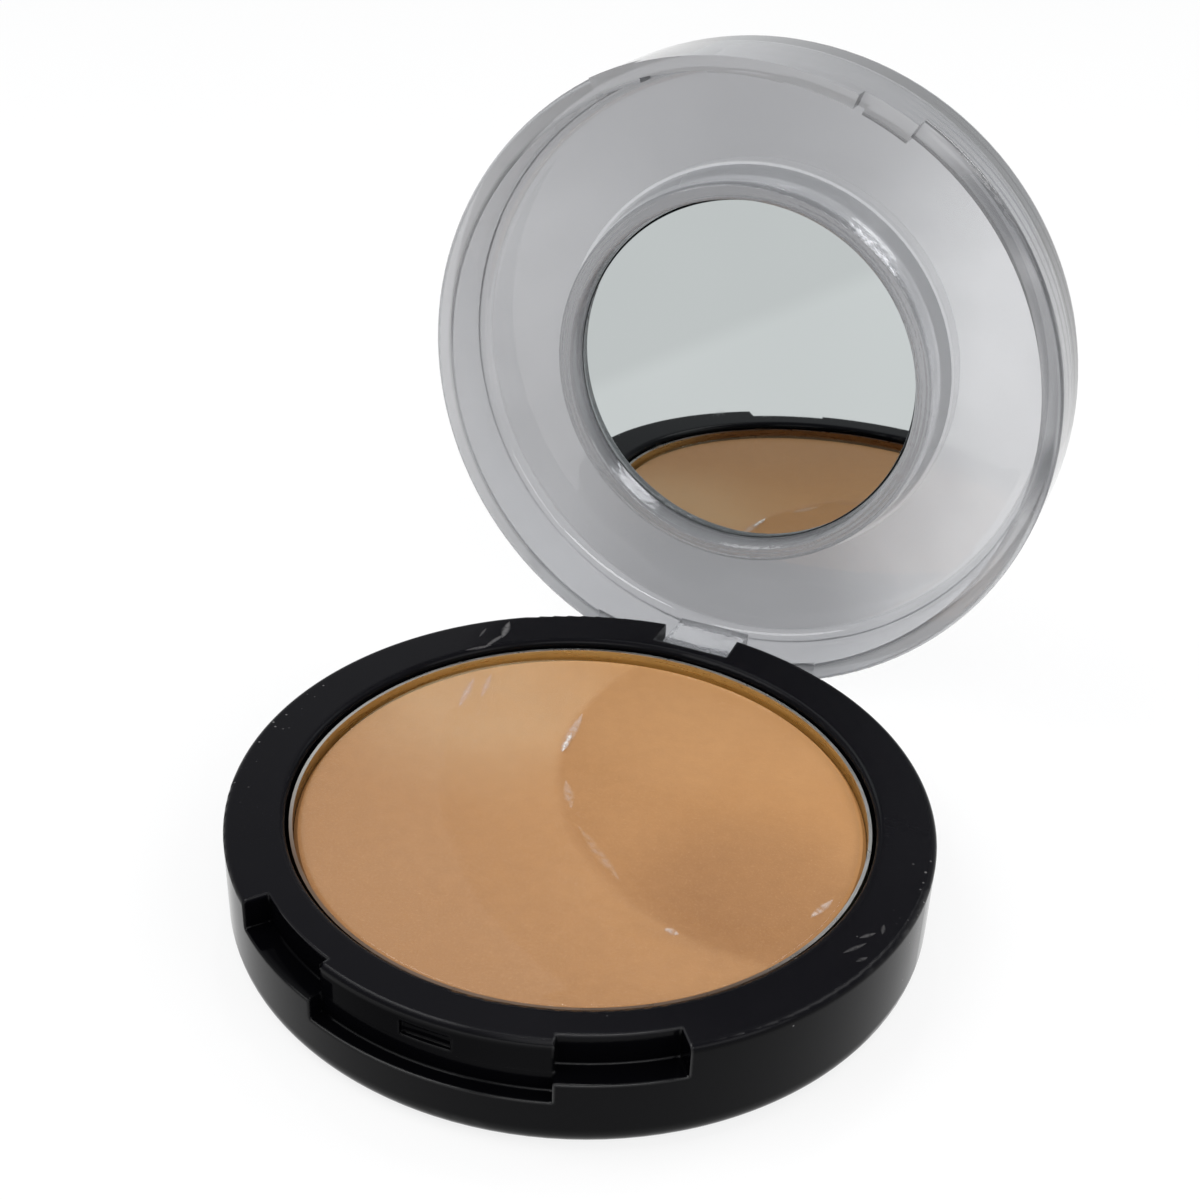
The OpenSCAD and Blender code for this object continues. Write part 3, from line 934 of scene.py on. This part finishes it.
def film_height(x, y, radius):
    """Height of the film's underside over the powder at a point of its disc, of that radius."""
    point = Vector((x, y))
    beyond = (point - FILM_BOW_CENTRE).length - FILM_BOW_RADIUS
    lift = FILM_LIFT * ease(beyond / FILM_LIFT_REACH)
    ridges = FILM_RIDGE * math.exp(-((beyond / FILM_RIDGE_WIDTH) ** 2))
    for start, end, half_width, _ in FILM_CREASES:
        ridges += FILM_RIDGE * on_line(point, Vector(start) * MM, Vector(end) * MM, half_width * MM)
    at_edge = ease(1 - (radius - point.length) / FILM_LIP_WIDTH)
    lip = FILM_LIP * at_edge * ease(2 * point.dot(FILM_LIP_TOWARDS) / radius - 1)
    wave = FILM_WAVE * (0.5 + 0.5 * noise.noise(Vector((x, y, 0.0)) / FILM_WAVE_LENGTH))
    return FILM_CLEARANCE + lift + ridges + lip + wave


def ease(share):
    """share held to 0..1 and smoothed at both ends."""
    share = min(max(share, 0.0), 1.0)
    return share * share * (3 - 2 * share)


def on_line(point, start, end, half_width):
    """1 on a line from start to end, falling away over half_width."""
    along = end - start
    share = min(max((point - start).dot(along) / along.length_squared, 0.0), 1.0)
    gap = (point - start - share * along).length
    return math.exp(-((gap / half_width) ** 2))


def film_points(shape, radius, thickness):
    """The points of one side of the film: its centre, and its rings from the inside out."""
    powder_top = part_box("powder_cake")[1].z

    def point(x, y):
        return shape.verts.new((x, y, powder_top + film_height(x, y, radius) + thickness))

    centre = point(0.0, 0.0)
    turns = [2 * math.pi * spoke / FILM_SPOKES for spoke in range(FILM_SPOKES)]
    rings = []
    for ring in range(1, FILM_RINGS + 1):
        reach = radius * ring / FILM_RINGS
        rings.append([point(reach * math.cos(turn), reach * math.sin(turn)) for turn in turns])
    return centre, rings


def film_faces(shape, centre, rings, facing_up):
    """The faces of one side of the film, between its points."""
    for spoke in range(FILM_SPOKES):
        after = (spoke + 1) % FILM_SPOKES
        faces = [[centre, rings[0][spoke], rings[0][after]]]
        for inner, outer in zip(rings, rings[1:]):
            faces.append([inner[spoke], outer[spoke], outer[after], inner[after]])
        for corners in faces:
            shape.faces.new(corners if facing_up else corners[::-1])


def film_mesh(radius):
    """A closed wavy disc of that radius on the powder."""
    shape = bmesh.new()
    under = film_points(shape, radius, 0.0)
    over = film_points(shape, radius, FILM_THICKNESS)
    film_faces(shape, *under, facing_up=False)
    film_faces(shape, *over, facing_up=True)
    below, above = under[1][-1], over[1][-1]
    for spoke in range(FILM_SPOKES):
        after = (spoke + 1) % FILM_SPOKES
        shape.faces.new([below[spoke], below[after], above[after], above[spoke]])
    mesh = bpy.data.meshes.new("loose_film")
    shape.to_mesh(mesh)
    shape.free()
    mesh.shade_smooth()
    return mesh


def make_film():
    """The loose film, which stands for the flat CAD film."""
    low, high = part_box("clear_film")
    mesh = film_mesh((high.x - low.x) / 2)
    mesh.materials.append(clear_film("film_clear"))
    film = bpy.data.objects.new("loose_film", mesh)
    bpy.context.scene.collection.objects.link(film)
    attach(film, "base")
    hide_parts("clear_film")


def dress(node, material):
    """Puts one material on a CAD node."""
    slots = frame["nodes"][node].data.materials
    slots.clear()
    slots.append(material)


# Stage


def white_floor(name):
    """Pale floor that keeps shadows, lifted towards white where it is looked at."""
    material, tree = new_material(name)
    plain = diffuse(tree, mix_colours(tree, grain(tree, FLOOR_CLOUD), *FLOOR_TONES))
    glow = add(tree, "ShaderNodeEmission", {"Strength": 1.0})
    path = add(tree, "ShaderNodeLightPath").outputs
    indirect = largest(tree, path["Is Glossy Ray"], path["Is Transmission Ray"])
    seen = largest(tree, path["Is Camera Ray"], indirect)
    share = product(tree, seen, FLOOR_GLOW)
    output(tree, mix_shaders(tree, share, plain, glow.outputs["Emission"]))
    return material


def make_floor():
    """A wide floor under the object."""
    bpy.ops.mesh.primitive_plane_add(size=FLOOR_SIZE, location=(0.0, 0.0, cad_low.z))
    floor = bpy.context.object
    floor.name = "floor"
    floor.data.materials.append(white_floor("floor_white"))


def make_room():
    """Even light from all round, brighter on one side and low down."""
    world = bpy.data.worlds.new("room")
    bpy.context.scene.world = world
    tree = empty_tree(world)
    direction = add(tree, "ShaderNodeTexCoord").outputs["Generated"]
    towards = measure(tree, "DOT_PRODUCT", direction, BRIGHT_TOWARDS.normalized())
    room = remap(tree, towards, *BRIGHT_CONE, *ROOM_LEVELS)
    low_down = remap(tree, axes(tree, direction)[2], *HORIZON_FADE)
    level = blend(tree, low_down, room, HORIZON_LIGHT)
    background = add(
        tree, "ShaderNodeBackground", {"Color": (*ROOM_TINT, 1.0), "Strength": level}
    )
    add(tree, "ShaderNodeOutputWorld", {"Surface": background.outputs["Background"]})


def make_lamps():
    """Soft lamps, turned towards the object."""
    for name, place_at, (width, height), power in LAMPS:
        lamp = bpy.data.lights.new(name, "AREA")
        lamp.shape = "ELLIPSE"
        lamp.size = width
        lamp.size_y = height
        lamp.energy = power
        holder = bpy.data.objects.new(name, lamp)
        holder.location = place_at
        holder.rotation_mode = "QUATERNION"
        holder.rotation_quaternion = (LIGHT_TARGET - place_at).to_track_quat("-Z", "Y")
        bpy.context.scene.collection.objects.link(holder)


def make_camera():
    """The camera at the photograph's viewpoint."""
    camera = bpy.data.objects.new("camera", bpy.data.cameras.new("camera"))
    camera.data.lens = CAMERA_LENS
    camera.data.sensor_width = CAMERA_SENSOR
    camera.data.clip_start = CAMERA_NEAR
    aim = (CAMERA_AIM - CAMERA_AT).to_track_quat("-Z", "Y").to_matrix().to_4x4()
    roll = Matrix.Rotation(CAMERA_ROLL, 4, "Z")
    camera.matrix_world = Matrix.Translation(CAMERA_AT) @ aim @ roll
    bpy.context.scene.collection.objects.link(camera)
    bpy.context.scene.camera = camera


make_floor()
make_room()
make_lamps()
make_camera()
bpy.context.scene.view_settings.view_transform = "Standard"

dress("base_body", black_plastic("base_black"))
dress("bottom_cover", matt_plastic("cover_black"))
dress("pan_adhesive", hot_melt("pan_hot_melt"))
dress("powder_pan", pressed_sheet("pan_sheet"))
dress("powder_cake", pressed_powder("powder_tan"))
dress("hinge_pin", drawn_wire("pin_wire"))
dress("lid_shell", clear_plastic("lid_clear"))
dress("mirror_tape", paper_tape("tape_paper"))
dress("mirror", mirror_glass("mirror_silver"))
make_film()
